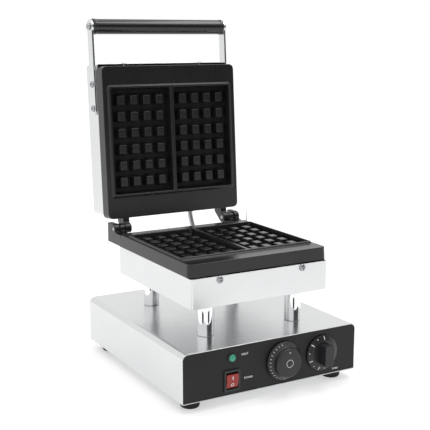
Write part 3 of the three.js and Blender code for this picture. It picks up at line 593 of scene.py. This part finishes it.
# A screw's measures, in millimetres.
PAN_HEAD = 2.6
LOW_HEAD = 0.9  # the two screws in the lid's front wall hardly stand proud of it
HEAD_RADIUS = 5.3
SHANK_RADIUS = 2.0
SHANK_LENGTH = 9.0
CROSS_HALF_WIDTH = 0.55
CROSS_REACH = 0.55  # of the head's radius
CROSS_FLOOR = 0.4  # of the head's height
CROSS_CUT = 4  # from that floor out, more than any head needs


def screw_mesh(tall):
    """A round-headed screw along +Z with a cross recess, its seat at the origin, as one mesh."""
    shares = ((0, 1), (0.45, 0.97), (0.75, 0.82), (0.95, 0.45), (1, 0))
    dome = [(HEAD_RADIUS * across, tall * up) for across, up in shares]
    shank = [(SHANK_RADIUS, 0), (SHANK_RADIUS, -SHANK_LENGTH), (0, -SHANK_LENGTH)]
    profile = softened(in_metres(dome), 1.0 * MM) + [Vector(point) for point in in_metres(shank)]
    blank = turned_shape(profile, (0, 0, 0), UP, segments=40)
    body = shown(blank, "screw_blank", MATERIALS["fastener_chrome"])
    arm, half = HEAD_RADIUS * CROSS_REACH * MM, CROSS_HALF_WIDTH * MM
    outline = [
        (half, half), (half, arm), (-half, arm), (-half, half), (-arm, half), (-arm, -half),
        (-half, -half), (-half, -arm), (half, -arm), (half, -half), (arm, -half), (arm, half),
    ]
    cross = slab_shape(outline, CROSS_CUT * MM, Matrix.Translation((0, 0, tall * CROSS_FLOOR * MM)))
    cutter = shown(cross, "screw_cross", PRINT)
    cut = body.modifiers.new("cross", "BOOLEAN")
    cut.operation = "DIFFERENCE"
    cut.solver = "EXACT"
    cut.object = cutter
    bpy.context.view_layer.update()
    mesh = bpy.data.meshes.new_from_object(body.evaluated_get(bpy.context.evaluated_depsgraph_get()))
    for scratch in (body, cutter):
        bpy.data.objects.remove(scratch)
    return mesh


def build_screws():
    pan_head = screw_mesh(PAN_HEAD)
    low_head = screw_mesh(LOW_HEAD)
    open_turn = Matrix.Rotation(radians(-OPEN_DEGREES), 4, "X")
    lid_front = (open_turn @ FRONT).normalized()
    heads = {"casing_screw_left": FRONT, "casing_screw_right": FRONT}
    heads.update({f"lid_screw_{side}": lid_front for side in ("left", "right")})
    for side, direction in (("left", -RIGHT), ("right", RIGHT)):
        for level in ("upper", "lower"):
            heads[f"arm_screw_{side}_{level}"] = direction
    to_seat = (SHANK_LENGTH - PAN_HEAD) / 2 * MM
    for node, direction in heads.items():
        seat = middle_of(node) + direction * to_seat
        bm = bmesh.new()
        bm.from_mesh(low_head if node.startswith("lid") else pan_head)
        bm.transform(Matrix.Translation(seat) @ axes_along(direction).to_4x4())
        standing_for(bm, node, smooth=40)


def build_handle():
    low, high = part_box("handle_grip")
    centre = middle_of("handle_grip")
    half = (high.x - low.x) / 2
    collar = (high.z - low.z) / 2
    radius = collar - 0.5 * MM
    bore = 3.6 * MM
    left_end = [
        (bore, -half), (radius - 0.4 * MM, -half), (collar, -half + 1 * MM), (collar, -half + 5 * MM),
        (radius, -half + 6 * MM),
    ]
    right_end = [(across, -along) for across, along in reversed(left_end)]
    outer = left_end + right_end + [(bore, -half)]
    standing_for(turned_shape(softened(outer, 0.7 * MM), centre, RIGHT, segments=96), "handle_grip")
    for side, sign in (("left", -1), ("right", 1)):
        node = f"handle_nut_{side}"
        low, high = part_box(node)
        seat = Vector((low.x if sign > 0 else high.x, centre.y, centre.z))
        nut_bore, bore_depth = 3.3, 2.6
        dome = in_metres([(nut_bore, 0), (5.4, 0), (5.4, 1.4), (4.6, 3.2), (2.6, 4.2), (0, 4.4)])
        blind_bore = in_metres([(0, bore_depth), (nut_bore, bore_depth)])
        profile = blind_bore + softened(dome, 0.8 * MM)
        standing_for(turned_shape(profile, seat, RIGHT * sign, segments=64), node)


def build_hinge_pins():
    for side in ("left", "right"):
        node = f"hinge_pin_{side}"
        low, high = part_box(node)
        centre = middle_of(node)
        length = high.x - low.x
        radius = (high.z - low.z) / 2
        profile = softened([(0, 0), (radius, 0), (radius, length), (0, length)], 0.5 * MM)
        standing_for(turned_shape(profile, (low.x, centre.y, centre.z), RIGHT, segments=48), node)


def build_gland():
    low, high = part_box("cable_gland")
    centre = middle_of("cable_gland")
    wall_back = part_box("base_housing")[1].y
    bore, neck, rim = 4 * MM, 6.6 * MM, (high.x - low.x) / 2
    start = low.y - wall_back
    end, flange = high.y - wall_back, 0.3 * MM
    section = [(bore, start), (neck, start), (neck, flange), (rim, flange), (rim, end), (bore, end)]
    profile = softened(section + [(bore, start)], 0.6 * MM)
    gland = turned_shape(profile, (centre.x, wall_back, centre.z), -FRONT, segments=64)
    standing_for(gland, "cable_gland")


# ---- the flexible conduit ----


def conduit_route():
    """Points along the conduit's middle line, from the lower casing to the lid."""
    lower = middle_of("conduit_nut_lower")
    upper = middle_of("conduit_nut_upper")
    low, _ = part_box("conduit")
    lean = radians(OPEN_DEGREES - 90)
    out_of_lid = Vector((0, -sin(lean), -cos(lean)))
    start = Vector((lower.x, low.y, lower.z))
    out_of_casing = Vector((0, 34 * MM, 1 * MM))
    approach, into_lid = 26, 12
    controls = (lower, lower + out_of_casing, upper + out_of_lid * approach * MM, upper)
    end = upper - out_of_lid * into_lid * MM
    points = []
    steps = 150
    for i in range(steps + 1):
        t = i / steps
        weights = ((1 - t) ** 3, 3 * t * (1 - t) ** 2, 3 * t * t * (1 - t), t**3)
        points.append(sum((c * w for c, w in zip(controls, weights)), Vector((0, 0, 0))))
    return [start] + points + [end]


def build_conduit():
    """A corrugated metal hose from the lower casing into the lid, shaped for the open lid."""
    points = conduit_route()
    sides, rings_per_rib = 28, 4
    hose_radius, rib_height = 4.15, 0.3
    bm = bmesh.new()
    rings = []
    for i, point in enumerate(points):
        before = points[max(i - 1, 0)]
        after = points[min(i + 1, len(points) - 1)]
        along = (after - before).normalized()
        out = RIGHT.cross(along)
        radius = (hose_radius + rib_height * cos(2 * pi * i / rings_per_rib)) * MM
        ring = []
        for j in range(sides):
            angle = 2 * pi * j / sides
            ring.append(bm.verts.new(point + (RIGHT * cos(angle) + out * sin(angle)) * radius))
        rings.append(ring)
    for lower, upper in zip(rings, rings[1:]):
        for j in range(sides):
            k = (j + 1) % sides
            bm.faces.new((lower[j], lower[k], upper[k], upper[j]))
    for ring in (rings[0], rings[-1]):
        bm.faces.new(ring)
    bmesh.ops.recalc_face_normals(bm, faces=bm.faces)
    hose = shown(bm, "conduit_skin", MATERIALS["inner_steel"], 60)
    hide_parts("conduit")
    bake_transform(hose)


def paint_the_rest():
    """The CAD nodes that are shown as they are get their finishes."""
    for node, obj in frame["nodes"].items():
        if not obj.hide_render:
            obj.data.materials.clear()
            obj.data.materials.append(MATERIALS[SLOT_OF[node]])


# ---- the studio ----


FLOOR_GLOW = 0.42
FLOOR_GAP = 0.0002  # below the feet
FLOOR_SIZE = 30

# Dark cards seen only in reflections: (centre, (width, height)).
DARK_CARDS = (
    ((0.9, -2.0, 1.0), (3.2, 1.5)),
    ((-0.345, -0.24, 0.028), (0.12, 0.054)),
    ((-0.01, -0.42, 0.028), (0.12, 0.054)),
)

# Lights: (name, position, target, (width, height), power in watts).
LIGHTS = (
    ("light_top", (-0.3, 0.1, 1.7), (0, 0, 0.1), (1.8, 1.8), 7),
    ("light_edges", (0.60, -0.10, 1.45), (0, 0.1, 0.35), (0.9, 0.4), 5),
)

AZIMUTH = radians(-29.78)
ELEVATION = radians(11.0)
LENS_MM = 77.29
SENSOR_MM = 36
CAMERA_PLACE = Vector((-0.6870, -1.2134, 0.5024))


def card(name, centre, toward, size, material):
    """A flat card that faces a point."""
    width, height = size
    out = (Vector(toward) - Vector(centre)).normalized()
    placing = Matrix.Translation(centre) @ axes_along(out).to_4x4()
    corners = ((-1, -1), (1, -1), (1, 1), (-1, 1))
    bm = bmesh.new()
    bm.faces.new([bm.verts.new(placing @ Vector((x * width / 2, y * height / 2, 0))) for x, y in corners])
    obj = shown(bm, name, material)
    return obj


def area_light(name, position, target, size, power):
    """A rectangular light that the camera doesn't see."""
    light = bpy.data.lights.new(name, "AREA")
    light.shape = "RECTANGLE"
    light.size, light.size_y = size
    light.energy = power
    obj = bpy.data.objects.new(name, light)
    bpy.context.scene.collection.objects.link(obj)
    out = (Vector(position) - Vector(target)).normalized()
    obj.matrix_world = Matrix.Translation(position) @ axes_along(out).to_4x4()
    obj.visible_camera = False


def build_studio():
    world = bpy.data.worlds.new("studio")
    world.use_nodes = True
    background = world.node_tree.nodes["Background"]
    background.inputs["Color"].default_value = (1, 1, 1, 1)
    background.inputs["Strength"].default_value = 1.0
    bpy.context.scene.world = world
    bpy.context.scene.view_settings.view_transform = "Standard"
    floor_look = {"colour": (0.62, 0.62, 0.62), "roughness": 0.8, "grain": 40, "lift": 0.02, "tone": 0.01}
    floor_white = finish_material("floor_white", floor_look)
    glow = floor_white.node_tree.nodes["Principled BSDF"]
    glow.inputs["Emission Color"].default_value = (1, 1, 1, 1)
    glow.inputs["Emission Strength"].default_value = FLOOR_GLOW
    card("floor", (0, 0, -FLOOR_GAP), (0, 0, 1), (FLOOR_SIZE, FLOOR_SIZE), floor_white)
    dark_look = {"colour": (0.01, 0.01, 0.01), "roughness": 0.9, "grain": 40, "lift": 0.02}
    dark = finish_material("card_black", dark_look)
    for i, (centre, size) in enumerate(DARK_CARDS):
        toward = (0, 0, centre[2])
        flag = card(f"card_dark_{i}", centre, toward, size, dark)
        flag.visible_camera = False
        flag.visible_diffuse = False
        flag.visible_shadow = False
    for name, position, target, size, power in LIGHTS:
        area_light(name, position, target, size, power)


def build_camera():
    across = cos(ELEVATION)
    back = Vector((sin(AZIMUTH) * across, -cos(AZIMUTH) * across, sin(ELEVATION)))
    right = Vector((cos(AZIMUTH), sin(AZIMUTH), 0))
    camera = bpy.data.cameras.new("camera")
    camera.sensor_width = SENSOR_MM
    camera.lens = LENS_MM
    obj = bpy.data.objects.new("camera", camera)
    bpy.context.scene.collection.objects.link(obj)
    obj.matrix_world = placing_of(CAMERA_PLACE, right, back.cross(right), back)
    bpy.context.scene.camera = obj


build_sheet_and_castings()
build_feet()
build_columns()
build_thermostat()
build_timer()
build_rocker_marks()
build_lamp()
build_legends()
build_screws()
build_handle()
build_hinge_pins()
build_gland()
build_conduit()
paint_the_rest()
build_studio()
build_camera()
